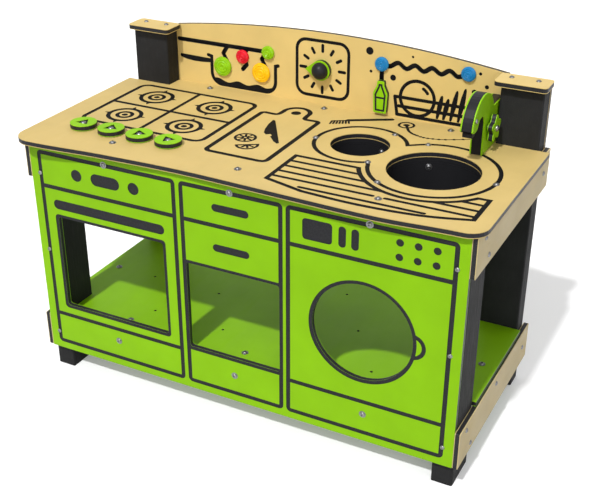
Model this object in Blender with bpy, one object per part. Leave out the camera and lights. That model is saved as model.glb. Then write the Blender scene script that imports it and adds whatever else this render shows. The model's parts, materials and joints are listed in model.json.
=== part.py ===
"""Outdoor toy kitchen of three-layer plastic sheet on four recycled-plastic posts.

Metres, +Z up, the child stands on the -Y side. Lengths below are measured from the kitchen's
own datum: x = 0 is its middle, y = 0 the face of the front panel, z = 0 the ground. Everything
hangs from one empty that moves the datum, so that the world origin lies under the middle of
the whole kitchen.
"""

import math

import bmesh
import bpy

# Sheets, posts and the gap that touching pieces keep.
SHEET = 0.015
GAP = 0.0003
POST_NARROW = 0.060
POST_WIDE = 0.120
POST_CORNER = 0.004

# Main heights.
PANEL_BOTTOM = 0.073
RAIL_HEIGHT = 0.113
SHELF_BOTTOM = PANEL_BOTTOM + RAIL_HEIGHT + GAP
WORKTOP_BOTTOM = 0.752
WORKTOP_TOP = WORKTOP_BOTTOM + SHEET
BACK_POST_TOP = 0.933

# Main widths and depths.
HALF_WIDTH = 0.650
RAIL_INNER = HALF_WIDTH + GAP
RAIL_OUTER = RAIL_INNER + SHEET
BACK_POST_FRONT = 0.538
BACK_POST_BACK = BACK_POST_FRONT + POST_NARROW
BACK_POST_INNER = HALF_WIDTH - POST_WIDE
SPLASH_FRONT = BACK_POST_BACK + GAP
SPLASH_BACK = SPLASH_FRONT + SHEET
WORKTOP_HALF_WIDTH = 0.681
SHELF_HALF_WIDTH = 0.660
INSIDE_FRONT = SHEET + GAP

# Worktop front edge, a slow wave between two rounded corners.
LEFT_CORNER = 0.055
RIGHT_CORNER = 0.050
FRONT_EDGE = (
    (-WORKTOP_HALF_WIDTH + LEFT_CORNER, -0.0380),
    (-0.400, -0.0210),
    (-0.150, -0.0120),
    (0.130, -0.0215),
    (0.420, -0.0320),
    (WORKTOP_HALF_WIDTH - RIGHT_CORNER, -0.0180),
)

# Front panel openings: x low, x high, z low, z high.
OVEN_WINDOW = (-0.5735, -0.217, 0.236, 0.528)
MIDDLE_BAY = (-0.144, 0.143, 0.2165, 0.487)
WASHER_CENTRE = (0.381, 0.411)
WASHER_RADIUS = 0.141

# Sinks: centre x, centre y, hole radius, clamping plate radius.
SMALL_SINK = (0.205, 0.360, 0.082, 0.143)
LARGE_SINK = (0.446, 0.286, 0.124, 0.187)
BOWL_WALL = 0.012
BOWL_FLOOR = 0.010
BOWL_BOTTOM = WORKTOP_BOTTOM - 0.115
DRAIN_RADIUS = 0.009

# Backsplash.
SPLASH_BOTTOM = 0.690
SPLASH_CROWN = 0.984
SPLASH_ARC = 3.675
SPLASH_SHOULDER = (BACK_POST_INNER + 0.001, BACK_POST_TOP - 0.003)
LIP = 0.0075
SLOT_HALF = 0.0070
MAIN_SLOT_Z = 0.9005
MAIN_SLOT_X = (-0.525, -0.207)
BRANCH_TOPS = (-0.350, -0.2815, -0.215)
BRANCH_KNEES = ((0.0, MAIN_SLOT_Z), (-0.0160, 0.8755), (-0.0020, 0.8510), (-0.0165, 0.8350))
WAVE_HIGH = 0.929
WAVE_LOW = 0.915
WAVE_TURNS = (0.1843, 0.2108, 0.2358, 0.2620, 0.2877, 0.3127, 0.3396, 0.3646, 0.3896)
WAVE_START = (0.1625, 0.9200)
WAVE_END = (0.4205, 0.9295)
BOTTLE_SLOT_X = 0.1615
BOTTLE_SLOT_Z = (0.862, 0.920)
POCKETS = ((-0.545, -0.185, 0.812, 0.918), (0.138, 0.446, 0.850, 0.945))
COVER_MARGIN = 0.012
COVER_THICK = 0.006

# Sliding discs: name, centre x, centre z, radius, colour.
DISCS = (
    ("green_large", BRANCH_TOPS[0] - 0.0165, 0.8350, 0.0300, "green"),
    ("red", BRANCH_TOPS[1] - 0.0140, 0.8755, 0.0215, "red"),
    ("yellow", BRANCH_TOPS[2] - 0.0165, 0.8350, 0.0300, "yellow"),
    ("green_small", MAIN_SLOT_X[1], MAIN_SLOT_Z, 0.0205, "green"),
    ("blue_left", WAVE_START[0], WAVE_START[1], 0.0210, "blue"),
    ("blue_right", WAVE_END[0], WAVE_END[1], 0.0210, "blue"),
)
DISC_RIM = 0.0085
DISC_CROWN = 0.0110
PIN_RADIUS = 0.004
BUTTON_RADIUS = 0.0105

# Timer.
TIMER = (-0.027, 0.875)
POINTER_RADIUS = 0.030
POINTER_REACH = 0.049
GRIP_RADIUS = 0.0255

# Bottle plate.
BOTTLE_X = 0.1655
BOTTLE_BASE = 0.777
BOTTLE_HALF = 0.0222
NECK_HALF = 0.0112

# Hob knobs.
KNOB_X = (-0.545, -0.450, -0.355, -0.260)
KNOB_Y = 0.119
KNOB_RADIUS = 0.038
KNOB_BOTTOM = WORKTOP_TOP + 0.0015
KNOB_TOP = KNOB_BOTTOM + SHEET
KNOB_TURN = (0.0, 18.0, 32.0, 50.0)
ARROW_RADIUS = 0.0235
ARROW_DEPTH = 0.0045
BOLT_RADIUS = 0.005
BOLT_HOLE = 0.0058

# Tap, in the plane across x.
TAP_CORE = (0.4946, 0.5212)
TAP_PLATE = 0.0038
TAP_FRONT = 0.434
TAP_TAIL = SPLASH_FRONT - 0.0003
TAP_SHOULDER = 0.885
TAP_ARC = (0.424, 0.854, 0.088)
TAP_INNER_ARC = (0.406, 0.858, 0.028)
TAP_TIP = (0.3575, 0.866, 0.0205, 0.008)
HANDLE_CENTRE = (0.481, 0.833)
HANDLE_X = (0.5305, 0.5455)
HANDLE_TIP = 0.038
HANDLE_NOTCH = 0.025
HANDLE_TIPS = 5

# Angle brackets.
BRACKET = 0.004
BRACKET_HALF = 0.020
BRACKET_X = (-0.393, 0.0, 0.393)
BRACKET_LEG = 0.052

# The datum moves back by half the kitchen's depth, from the worktop's furthest bulge to the
# back of the slot covers.
FRONT_MOST = min(y for _, y in FRONT_EDGE)
BACK_MOST = SPLASH_BACK + GAP + COVER_THICK
DATUM_Y = -(FRONT_MOST + BACK_MOST) / 2

COLOURS = {
    "green": ((0.30, 0.61, 0.03, 1), 0.45, 0.0),
    "tan": ((0.80, 0.60, 0.23, 1), 0.50, 0.0),
    "black": ((0.03, 0.03, 0.035, 1), 0.55, 0.0),
    "post": ((0.045, 0.045, 0.042, 1), 0.80, 0.0),
    "red": ((0.72, 0.02, 0.03, 1), 0.35, 0.0),
    "yellow": ((0.95, 0.55, 0.01, 1), 0.35, 0.0),
    "blue": ((0.02, 0.22, 0.50, 1), 0.35, 0.0),
    "steel": ((0.60, 0.60, 0.62, 1), 0.30, 1.0),
}


# Outlines, each a list of points running once round a flat shape.

def arc(centre, radius, start, end, steps):
    """Points on an arc, angles in degrees, both ends included."""
    turns = [math.radians(start + (end - start) * i / steps) for i in range(steps + 1)]
    return [(centre[0] + radius * math.cos(a), centre[1] + radius * math.sin(a)) for a in turns]


def circle(centre, radius, steps):
    return arc(centre, radius, 0, 360, steps)[:-1]


def box_outline(low_u, high_u, low_v, high_v, corner=0.0, steps=4):
    """A rectangle with all its corners rounded alike."""
    if corner == 0:
        return [(low_u, low_v), (high_u, low_v), (high_u, high_v), (low_u, high_v)]
    spots = (
        (high_u - corner, high_v - corner, 0),
        (low_u + corner, high_v - corner, 90),
        (low_u + corner, low_v + corner, 180),
        (high_u - corner, low_v + corner, 270),
    )
    points = []
    for u, v, start in spots:
        points += arc((u, v), corner, start, start + 90, steps)
    return points


def slot_outline(first, last, half, steps=6):
    """A straight slot with round ends."""
    along = math.degrees(math.atan2(last[1] - first[1], last[0] - first[0]))
    return arc(last, half, along - 90, along + 90, steps) + arc(
        first, half, along + 90, along + 270, steps
    )


def smooth_line(points, steps):
    """A soft curve through all the points, level at both ends."""
    slopes = [0.0]
    for before, after in zip(points, points[2:]):
        slopes.append((after[1] - before[1]) / (after[0] - before[0]))
    slopes.append(0.0)
    curve = []
    for i, (first, last) in enumerate(zip(points, points[1:])):
        span = last[0] - first[0]
        for step in range(steps):
            t = step / steps
            rise = (3 - 2 * t) * t**2
            bend = span * (slopes[i] * t * (1 - t) ** 2 - slopes[i + 1] * t**2 * (1 - t))
            height = first[1] + (last[1] - first[1]) * rise + bend
            curve.append((first[0] + span * t, height))
    return curve + [points[-1]]


def worktop_outline():
    half = WORKTOP_HALF_WIDTH
    left_x, left_y = FRONT_EDGE[0]
    right_x, right_y = FRONT_EDGE[-1]
    back = BACK_POST_FRONT - GAP
    tongue = BACK_POST_INNER - GAP
    points = arc((left_x, left_y + LEFT_CORNER), LEFT_CORNER, 180, 270, 6)
    points += smooth_line(FRONT_EDGE, 6)[1:-1]
    points += arc((right_x, right_y + RIGHT_CORNER), RIGHT_CORNER, 270, 360, 6)
    points += [(half, back), (tongue, back), (tongue, BACK_POST_BACK)]
    points += [(-tongue, BACK_POST_BACK), (-tongue, back), (-half, back)]
    return points


def shelf_outline():
    """Half of the shelf from the middle of its front edge, then its mirror image."""
    post_inner = HALF_WIDTH - POST_NARROW - GAP
    post_back = INSIDE_FRONT + POST_WIDE + GAP
    tongue = BACK_POST_INNER - GAP
    right = [
        (post_inner, INSIDE_FRONT),
        (post_inner, post_back),
        (SHELF_HALF_WIDTH, post_back),
        (SHELF_HALF_WIDTH, BACK_POST_FRONT - GAP),
        (tongue, BACK_POST_FRONT - GAP),
        (tongue, BACK_POST_BACK),
    ]
    return right + [(-x, y) for x, y in reversed(right)]


def splash_outline():
    """An arched top between two shoulders that stay low behind the posts."""
    half = HALF_WIDTH - GAP
    steps = 24
    points = [(-half, SPLASH_BOTTOM), (half, SPLASH_BOTTOM), (half, SPLASH_SHOULDER[1])]
    points.append(SPLASH_SHOULDER)
    for i in range(steps + 1):
        x = SPLASH_SHOULDER[0] * (1 - 2 * i / steps)
        points.append((x, SPLASH_CROWN - SPLASH_ARC + math.sqrt(SPLASH_ARC**2 - x**2)))
    points.append((-SPLASH_SHOULDER[0], SPLASH_SHOULDER[1]))
    points.append((-half, SPLASH_SHOULDER[1]))
    return points


def two_circle_outline(first, first_radius, last, last_radius, steps=28):
    """Outline of two overlapping circles, the second one to the right of the first."""
    across = (last[0] - first[0], last[1] - first[1])
    span = math.hypot(*across)
    along = math.degrees(math.atan2(across[1], across[0]))
    reach = (span**2 + first_radius**2 - last_radius**2) / (2 * span)
    first_half = math.degrees(math.acos(reach / first_radius))
    last_half = math.degrees(math.acos((span - reach) / last_radius))
    left = arc(first, first_radius, along + first_half, along + 360 - first_half, steps)
    right = arc(last, last_radius, along + 180 + last_half, along + 540 - last_half, steps)
    return left + right[1:-1]


def tap_outline(with_nozzle):
    """The tap from its foot up the front of the column, over the arch and down the tail."""
    foot = WORKTOP_TOP + GAP
    tip_y, tip_z, tip_half, tip_drop = TAP_TIP
    arc_y, arc_z, radius = TAP_ARC
    inner_y, inner_z, inner_radius = TAP_INNER_ARC
    points = [(TAP_FRONT, foot)] + arc((inner_y, inner_z), inner_radius, 0, 163, 10)
    nozzle_half = 0.011
    nozzle_bottom = 0.846
    tip = []
    for i in range(1, 8):
        turn = -math.pi * i / 8
        tip.append((tip_y + tip_half * math.cos(turn), tip_z + tip_drop * math.sin(turn)))
    if with_nozzle:
        tip = [point for point in tip if abs(point[0] - tip_y) > nozzle_half]
        middle = len(tip) // 2
        floor = tip_z - tip_drop
        tip[middle:middle] = [
            (tip_y + nozzle_half, floor),
            (tip_y + nozzle_half, nozzle_bottom),
            (tip_y - nozzle_half, nozzle_bottom),
            (tip_y - nozzle_half, floor),
        ]
    points += tip
    start = 180 - math.degrees(math.asin((tip_z - arc_z) / radius))
    end = math.degrees(math.asin((TAP_SHOULDER - arc_z) / radius))
    points += arc((arc_y, arc_z), radius, start, end, 20)
    points += [(TAP_TAIL, TAP_SHOULDER), (TAP_TAIL, foot)]
    return points


def star_outline(centre, tip, notch, tips):
    """A star whose tips and notches are soft, like a valve wheel."""
    steps = tips * 8
    mean = (tip + notch) / 2
    swing = (tip - notch) / 2
    points = []
    for i in range(steps):
        turn = 2 * math.pi * i / steps + math.pi / 2
        reach = mean + swing * math.cos(tips * (turn - math.pi / 2))
        points.append((centre[0] + reach * math.cos(turn), centre[1] + reach * math.sin(turn)))
    return points


def pointer_outline():
    """A round plate drawn out to a point towards -x."""
    spread = math.degrees(math.acos(POINTER_RADIUS / POINTER_REACH))
    tip = (TIMER[0] - POINTER_REACH, TIMER[1])
    return arc(TIMER, POINTER_RADIUS, 180 + spread, 540 - spread, 32) + [tip]


def bottle_outline():
    base = BOTTLE_HALF - 0.0025
    right = [
        (base - 0.002, 0.0),
        (base, 0.002),
        (BOTTLE_HALF, 0.058),
        (BOTTLE_HALF - 0.001, 0.062),
        (NECK_HALF, 0.083),
        (NECK_HALF, 0.093),
        (NECK_HALF - 0.002, 0.096),
    ]
    left = [(-u, v) for u, v in reversed(right)]
    return [(BOTTLE_X + u, BOTTLE_BASE + v) for u, v in right + left]


def triangle_outline(centre, radius, turn):
    return arc(centre, radius, 90 + turn, 450 + turn, 3)[:-1]


# Solids.

def material(colour):
    found = bpy.data.materials.get(colour)
    if found:
        return found
    base, roughness, metallic = COLOURS[colour]
    made = bpy.data.materials.new(colour)
    made.use_nodes = True
    shader = made.node_tree.nodes["Principled BSDF"]
    shader.inputs["Base Color"].default_value = base
    shader.inputs["Roughness"].default_value = roughness
    shader.inputs["Metallic"].default_value = metallic
    return made


def point_in_space(axis, u, v, w):
    """Places outline point (u, v) at height w along the axis that the solid runs along."""
    if axis == "X":
        return (w, u, v)
    if axis == "Y":
        return (u, w, v)
    return (u, v, w)


def add_object(name, mesh_data, colour, pivot):
    bmesh.ops.recalc_face_normals(mesh_data, faces=mesh_data.faces)
    bmesh.ops.translate(mesh_data, vec=[-c for c in pivot], verts=mesh_data.verts)
    mesh = bpy.data.meshes.new(name)
    mesh_data.to_mesh(mesh)
    mesh_data.free()
    body = bpy.data.objects.new(name, mesh)
    body.location = pivot
    body.parent = DATUM
    mesh.materials.append(material(colour))
    bpy.context.scene.collection.objects.link(body)
    return body


def sheet(name, outline, axis, low, high, colour, pivot=(0, 0, 0)):
    """A flat outline given thickness from low to high along an axis."""
    mesh_data = bmesh.new()
    rings = []
    for w in (low, high):
        rings.append([mesh_data.verts.new(point_in_space(axis, u, v, w)) for u, v in outline])
    mesh_data.faces.new(rings[0])
    mesh_data.faces.new(rings[1])
    count = len(outline)
    for i in range(count):
        j = (i + 1) % count
        mesh_data.faces.new((rings[0][i], rings[0][j], rings[1][j], rings[1][i]))
    return add_object(name, mesh_data, colour, pivot)


def turned(name, profile, axis, centre, colour, pivot=(0, 0, 0), steps=32):
    """A profile of (radius, height) points turned about an axis; radius 0 closes an end."""
    mesh_data = bmesh.new()
    rings = []
    for radius, w in profile:
        if radius == 0:
            rings.append([mesh_data.verts.new(point_in_space(axis, *centre, w))])
            continue
        ring = circle(centre, radius, steps)
        rings.append([mesh_data.verts.new(point_in_space(axis, u, v, w)) for u, v in ring])
    open_profile = profile[0][0] == 0
    pairs = list(zip(rings, rings[1:]))
    if not open_profile:
        pairs.append((rings[-1], rings[0]))
    for ring, following in pairs:
        for i in range(steps):
            j = (i + 1) % steps
            corners = [ring[i % len(ring)], ring[j % len(ring)]]
            corners += [following[j % len(following)], following[i % len(following)]]
            unique = list(dict.fromkeys(corners))
            mesh_data.faces.new(unique)
    body = add_object(name, mesh_data, colour, pivot)
    body.data.shade_smooth()
    body.data.set_sharp_from_angle(angle=math.radians(35))
    return body


def cut(body, outline, axis, low, high):
    """Takes an extruded outline out of a body."""
    name = body.name + "_cutter"
    cutter = sheet(name, outline, axis, low, high, "black")
    cutter.hide_render = True
    cutter.display_type = "WIRE"
    cutter.parent = DATUM
    modifier = body.modifiers.new("cut", "BOOLEAN")
    modifier.operation = "DIFFERENCE"
    modifier.solver = "EXACT"
    modifier.object = cutter


# Parts.

def make_posts():
    for side, sign in (("left", -1), ("right", 1)):
        inner = sign * (HALF_WIDTH - POST_NARROW)
        outer = sign * HALF_WIDTH
        low, high = sorted((inner, outer))
        outline = box_outline(low, high, INSIDE_FRONT, INSIDE_FRONT + POST_WIDE, POST_CORNER, 2)
        sheet(f"post_front_{side}", outline, "Z", 0, WORKTOP_BOTTOM - GAP, "post")
        low, high = sorted((sign * BACK_POST_INNER, outer))
        outline = box_outline(low, high, BACK_POST_FRONT, BACK_POST_BACK, POST_CORNER, 2)
        sheet(f"post_back_{side}", outline, "Z", 0, BACK_POST_TOP, "post")
        low, high = sorted((sign * (BACK_POST_INNER - 0.016), sign * (HALF_WIDTH + 0.009)))
        outline = box_outline(low, high, BACK_POST_FRONT - 0.020, BACK_POST_BACK, 0.012, 4)
        bottom = BACK_POST_TOP + GAP
        sheet(f"cap_{side}", outline, "Z", bottom, bottom + SHEET, "tan")


def make_rails():
    levels = (("lower", PANEL_BOTTOM), ("upper", WORKTOP_BOTTOM - GAP - RAIL_HEIGHT))
    for side, sign in (("left", -1), ("right", 1)):
        low, high = sorted((sign * RAIL_INNER, sign * RAIL_OUTER))
        for level, bottom in levels:
            outline = box_outline(0, SPLASH_BACK, bottom, bottom + RAIL_HEIGHT, 0.002, 1)
            sheet(f"rail_{level}_{side}", outline, "X", low, high, "tan")


def make_panel():
    top = WORKTOP_BOTTOM - GAP
    outline = box_outline(-HALF_WIDTH, HALF_WIDTH, PANEL_BOTTOM, top, 0.002, 1)
    panel = sheet("front_panel", outline, "Y", 0, SHEET, "green")
    for opening in (OVEN_WINDOW, MIDDLE_BAY):
        cut(panel, box_outline(*opening, corner=0.008), "Y", -SHEET, 2 * SHEET)
    cut(panel, circle(WASHER_CENTRE, WASHER_RADIUS, 56), "Y", -SHEET, 2 * SHEET)


def make_worktop():
    worktop = sheet("worktop", worktop_outline(), "Z", WORKTOP_BOTTOM, WORKTOP_TOP, "tan")
    for x, y, radius, _ in (SMALL_SINK, LARGE_SINK):
        cut(worktop, circle((x, y), radius, 48), "Z", WORKTOP_BOTTOM - 0.01, WORKTOP_TOP + 0.01)
    for x in KNOB_X:
        hole = circle((x, KNOB_Y), BOLT_HOLE, 16)
        cut(worktop, hole, "Z", WORKTOP_BOTTOM - 0.01, WORKTOP_TOP + 0.01)


def make_shelf():
    sheet("bottom_shelf", shelf_outline(), "Z", SHELF_BOTTOM, SHELF_BOTTOM + SHEET, "green")


def make_sinks():
    plate_top = WORKTOP_BOTTOM - GAP
    plate_bottom = plate_top - SHEET
    small, large = SMALL_SINK[:2], LARGE_SINK[:2]
    outline = two_circle_outline(small, SMALL_SINK[3], large, LARGE_SINK[3])
    plate = sheet("sink_plate", outline, "Z", plate_bottom, plate_top, "black")
    for name, (x, y, radius, _) in (("small", SMALL_SINK), ("large", LARGE_SINK)):
        cut(plate, circle((x, y), radius, 48), "Z", plate_bottom - 0.01, plate_top + 0.01)
        outer = radius + BOWL_WALL
        rim = plate_bottom - GAP
        profile = [
            (DRAIN_RADIUS, BOWL_BOTTOM),
            (outer, BOWL_BOTTOM),
            (outer, rim),
            (radius, rim),
            (radius, BOWL_BOTTOM + BOWL_FLOOR + 0.008),
            (radius - 0.008, BOWL_BOTTOM + BOWL_FLOOR),
            (DRAIN_RADIUS, BOWL_BOTTOM + BOWL_FLOOR),
        ]
        turned(f"sink_bowl_{name}", profile, "Z", (x, y), "black", steps=40)


def branch_points(top_x):
    return [(top_x + shift, z) for shift, z in BRANCH_KNEES]


def wave_points():
    turns = []
    for i, x in enumerate(WAVE_TURNS):
        turns.append((x, WAVE_LOW if i % 2 == 0 else WAVE_HIGH))
    return smooth_line([WAVE_START] + turns + [WAVE_END], 4)


def make_backsplash():
    """The sheet has slots in a thin lip and wide pockets behind, where the buttons run."""
    splash = sheet("backsplash", splash_outline(), "Y", SPLASH_FRONT, SPLASH_BACK, "tan")
    past_back = SPLASH_BACK + 0.01
    past_front = SPLASH_FRONT - 0.01
    for pocket in POCKETS:
        cut(splash, box_outline(*pocket, corner=0.012), "Y", SPLASH_FRONT + LIP, past_back)
    runs = [[(MAIN_SLOT_X[0], MAIN_SLOT_Z), (MAIN_SLOT_X[1], MAIN_SLOT_Z)]]
    runs += [branch_points(x) for x in BRANCH_TOPS]
    runs.append(wave_points())
    runs.append([(BOTTLE_SLOT_X, z) for z in BOTTLE_SLOT_Z])
    for run in runs:
        for first, last in zip(run, run[1:]):
            outline = slot_outline(first, last, SLOT_HALF)
            cut(splash, outline, "Y", past_front, SPLASH_FRONT + LIP + 0.002)
    cut(splash, circle(TIMER, BOLT_HOLE, 16), "Y", past_front, past_back)
    for name, (low_x, high_x, low_z, high_z) in zip(("left", "right"), POCKETS):
        spread = COVER_MARGIN
        outline = box_outline(
            low_x - spread, high_x + spread, low_z - spread, high_z + spread / 2, 0.010
        )
        front = SPLASH_BACK + GAP
        sheet(f"slot_cover_{name}", outline, "Y", front, front + COVER_THICK, "black")


def make_discs():
    """Each disc sits 1 mm proud of the sheet, on a pin with a button inside the pocket."""
    back = SPLASH_FRONT - 0.001
    for name, x, z, radius, colour in DISCS:
        pivot = (x, back, z)
        profile = [
            (0, back),
            (radius - 0.001, back),
            (radius, back - 0.001),
            (radius, back - DISC_RIM + 0.003),
            (radius - 0.003, back - DISC_RIM),
            (radius * 0.70, back - DISC_RIM - 0.0018),
            (radius * 0.40, back - DISC_CROWN),
            (0, back - DISC_CROWN),
        ]
        turned(f"disc_{name}", profile, "Y", (x, z), colour, pivot, steps=28)
        lip_back = SPLASH_FRONT + LIP
        profile = [
            (0, back + GAP),
            (PIN_RADIUS, back + GAP),
            (PIN_RADIUS, lip_back + 0.0007),
            (BUTTON_RADIUS, lip_back + 0.0007),
            (BUTTON_RADIUS, lip_back + 0.0050),
            (0, lip_back + 0.0050),
        ]
        turned(f"pin_{name}", profile, "Y", (x, z), "steel", pivot, steps=16)


def make_timer():
    back = SPLASH_FRONT - 0.0015
    front = back - SHEET
    pivot = (TIMER[0], back, TIMER[1])
    pointer = sheet("timer_pointer", pointer_outline(), "Y", front, back, "green", pivot)
    cut(pointer, circle(TIMER, BOLT_HOLE, 16), "Y", front - 0.01, back + 0.01)
    base = front - GAP
    profile = [(0, base)]
    for i in range(8):
        turn = math.pi / 2 * i / 8
        profile.append((GRIP_RADIUS * math.cos(turn), base - GRIP_RADIUS * math.sin(turn)))
    profile.append((0, base - GRIP_RADIUS))
    turned("timer_grip", profile, "Y", TIMER, "black", pivot, steps=32)
    head = SPLASH_BACK + GAP
    profile = [
        (0, front + 0.001),
        (BOLT_RADIUS, front + 0.001),
        (BOLT_RADIUS, head),
        (0.010, head),
        (0.010, head + 0.0055),
        (0, head + 0.0055),
    ]
    turned("timer_pivot", profile, "Y", TIMER, "steel", steps=16)


def make_bottle():
    back = SPLASH_FRONT - GAP
    sheet("bottle", bottle_outline(), "Y", back - SHEET, back, "green")


def make_knobs():
    floor = KNOB_TOP - ARROW_DEPTH
    for i, (x, turn) in enumerate(zip(KNOB_X, KNOB_TURN), start=1):
        centre = (x, KNOB_Y)
        pivot = (x, KNOB_Y, KNOB_BOTTOM)
        outline = circle(centre, KNOB_RADIUS, 40)
        knob = sheet(f"knob_{i}", outline, "Z", KNOB_BOTTOM, KNOB_TOP, "green", pivot)
        cut(knob, triangle_outline(centre, ARROW_RADIUS, turn), "Z", floor, KNOB_TOP + 0.01)
        cut(knob, circle(centre, BOLT_HOLE, 16), "Z", KNOB_BOTTOM - 0.01, floor + 0.002)
        under = WORKTOP_BOTTOM - GAP
        head = floor + GAP
        profile = [
            (0, under - 0.008),
            (0.009, under - 0.008),
            (0.009, under),
            (BOLT_RADIUS, under),
            (BOLT_RADIUS, head),
            (0.0080, head),
            (0.0078, head + 0.0018),
            (0.0055, head + 0.0040),
            (0, head + 0.0047),
        ]
        turned(f"knob_bolt_{i}", profile, "Z", centre, "steel", steps=16)


def make_tap():
    core_left, core_right = TAP_CORE
    core = sheet("tap_core", tap_outline(True), "X", core_left, core_right, "black")
    plates = (
        ("left", core_left - GAP - TAP_PLATE, core_left - GAP),
        ("right", core_right + GAP, core_right + GAP + TAP_PLATE),
    )
    for side, low, high in plates:
        plate = sheet(f"tap_plate_{side}", tap_outline(False), "X", low, high, "green")
        if side == "right":
            cut(plate, circle(HANDLE_CENTRE, BOLT_HOLE, 16), "X", low - 0.01, high + 0.01)
    bolt_end = core_right - 0.014
    cut(core, circle(HANDLE_CENTRE, BOLT_HOLE, 16), "X", bolt_end - 0.001, core_right + 0.01)
    low, high = HANDLE_X
    pivot = (low, *HANDLE_CENTRE)
    outline = star_outline(HANDLE_CENTRE, HANDLE_TIP, HANDLE_NOTCH, HANDLE_TIPS)
    handle = sheet("tap_handle", outline, "X", low, high, "green", pivot)
    cut(handle, circle(HANDLE_CENTRE, BOLT_HOLE, 16), "X", low - 0.01, high + 0.01)
    face = core_right + GAP + TAP_PLATE + GAP
    profile = [
        (0, bolt_end),
        (BOLT_RADIUS, bolt_end),
        (BOLT_RADIUS, face),
        (0.010, face),
        (0.010, low - GAP),
        (BOLT_RADIUS, low - GAP),
        (BOLT_RADIUS, high + GAP),
        (0.0090, high + GAP),
        (0.0086, high + 0.0025),
        (0.0060, high + 0.0052),
        (0, high + 0.0060),
    ]
    turned("tap_handle_bolt", profile, "X", HANDLE_CENTRE, "steel", steps=16)


def bracket(name, corner, toward, axis, low, high):
    """An angle bracket: legs from the corner, one towards the inside and one down."""
    u, v = corner
    outline = [
        (u, v),
        (u + toward * BRACKET_LEG, v),
        (u + toward * BRACKET_LEG, v - BRACKET),
        (u + toward * BRACKET, v - BRACKET),
        (u + toward * BRACKET, v - BRACKET_LEG),
        (u, v - BRACKET_LEG),
    ]
    sheet(name, outline, axis, low, high, "steel")


def make_brackets():
    shelf_corner = (INSIDE_FRONT, SHELF_BOTTOM - GAP)
    top_corner = (INSIDE_FRONT, WORKTOP_BOTTOM - GAP)
    back_corner = (SPLASH_FRONT - GAP, WORKTOP_BOTTOM - GAP)
    for side, x in zip(("left", "middle", "right"), BRACKET_X):
        low = x - BRACKET_HALF
        high = x + BRACKET_HALF
        bracket(f"bracket_shelf_{side}", shelf_corner, 1, "X", low, high)
        bracket(f"bracket_top_{side}", top_corner, 1, "X", low, high)
        bracket(f"bracket_back_{side}", back_corner, -1, "X", low, high)
    middle = 0.308
    low = middle - BRACKET_HALF
    high = middle + BRACKET_HALF
    for side, sign in (("left", -1), ("right", 1)):
        corner = (sign * HALF_WIDTH, SHELF_BOTTOM - GAP)
        bracket(f"bracket_side_{side}", corner, -sign, "Y", low, high)


for old in list(bpy.data.objects):
    bpy.data.objects.remove(old, do_unlink=True)

DATUM = bpy.data.objects.new("kitchen_datum", None)
DATUM.location = (0, DATUM_Y, 0)
bpy.context.scene.collection.objects.link(DATUM)

make_posts()
make_rails()
make_panel()
make_worktop()
make_shelf()
make_sinks()
make_backsplash()
make_discs()
make_timer()
make_bottle()
make_knobs()
make_tap()
make_brackets()
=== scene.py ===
"""Looks of the outdoor toy kitchen: engraved three-layer sheets, bolts, worn-in materials.

Lengths are metres. Drawn places use the kitchen's own datum: x = 0 is its middle, y = 0 the
face of the front panel, z = 0 the ground. FACE_Y carries them into the frame's coordinates.
"""

import json
import math

import bmesh
import bpy
from mathutils import Matrix, Vector

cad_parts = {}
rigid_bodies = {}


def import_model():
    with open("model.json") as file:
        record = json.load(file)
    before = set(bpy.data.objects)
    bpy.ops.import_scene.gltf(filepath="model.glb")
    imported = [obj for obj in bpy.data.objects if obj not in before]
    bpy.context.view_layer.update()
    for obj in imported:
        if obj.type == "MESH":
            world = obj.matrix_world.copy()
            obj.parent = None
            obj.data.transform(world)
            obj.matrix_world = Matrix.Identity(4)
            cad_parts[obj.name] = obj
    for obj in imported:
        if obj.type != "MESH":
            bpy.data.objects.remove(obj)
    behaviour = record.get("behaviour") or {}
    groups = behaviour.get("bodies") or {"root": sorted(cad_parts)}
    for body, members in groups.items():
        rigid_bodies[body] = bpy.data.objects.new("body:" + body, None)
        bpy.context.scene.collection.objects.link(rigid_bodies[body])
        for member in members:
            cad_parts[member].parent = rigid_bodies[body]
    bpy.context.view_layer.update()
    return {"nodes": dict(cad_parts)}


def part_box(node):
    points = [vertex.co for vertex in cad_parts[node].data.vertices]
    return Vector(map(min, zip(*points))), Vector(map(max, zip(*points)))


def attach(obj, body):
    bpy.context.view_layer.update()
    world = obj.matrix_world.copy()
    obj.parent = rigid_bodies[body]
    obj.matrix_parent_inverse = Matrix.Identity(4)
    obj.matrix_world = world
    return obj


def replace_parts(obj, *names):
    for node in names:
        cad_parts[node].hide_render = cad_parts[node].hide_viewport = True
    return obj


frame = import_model()

# Sheet construction: coloured skin, depth and width of a milled groove, rounding of an edge,
# and how far a cutter stands out of the sheet.
SKIN = 0.0018
SKIN_BLEND = 0.0002
ENGRAVED = 0.0012
GROOVE = 0.0125
EDGE_SOFTNESS = 0.0008
POST_SOFTNESS = 0.0015
CUTTER_REACH = 0.02

# Datum and sheet levels, from the frame.
FACE_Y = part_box("front_panel")[0].y
WORKTOP_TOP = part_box("worktop")[1].z
SPLASH_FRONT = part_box("backsplash")[0].y - FACE_Y
SHELF_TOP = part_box("bottom_shelf")[1].z
CAP_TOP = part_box("cap_left")[1].z
RAIL_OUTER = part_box("rail_upper_right")[1].x

# Button-head bolts.
BOLT_HEAD = 0.0070
BOLT_WASHER = 0.0100
WASHER_RISE = 0.0014

# Bowls: middles, wall, floor, inner corner, and how far the wall's bolt sits below the
# worktop's top. Outer radii come from the frame.
SMALL_BOWL = (0.205, 0.360)
LARGE_BOWL = (0.446, 0.286)
BOWL_WALL = 0.012
BOWL_FLOOR = 0.010
BOWL_CORNER = 0.012
BOWL_BOLT_DROP = 0.044

# The timer's middle on the backsplash.
TIMER = (-0.027, 0.875)

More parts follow.
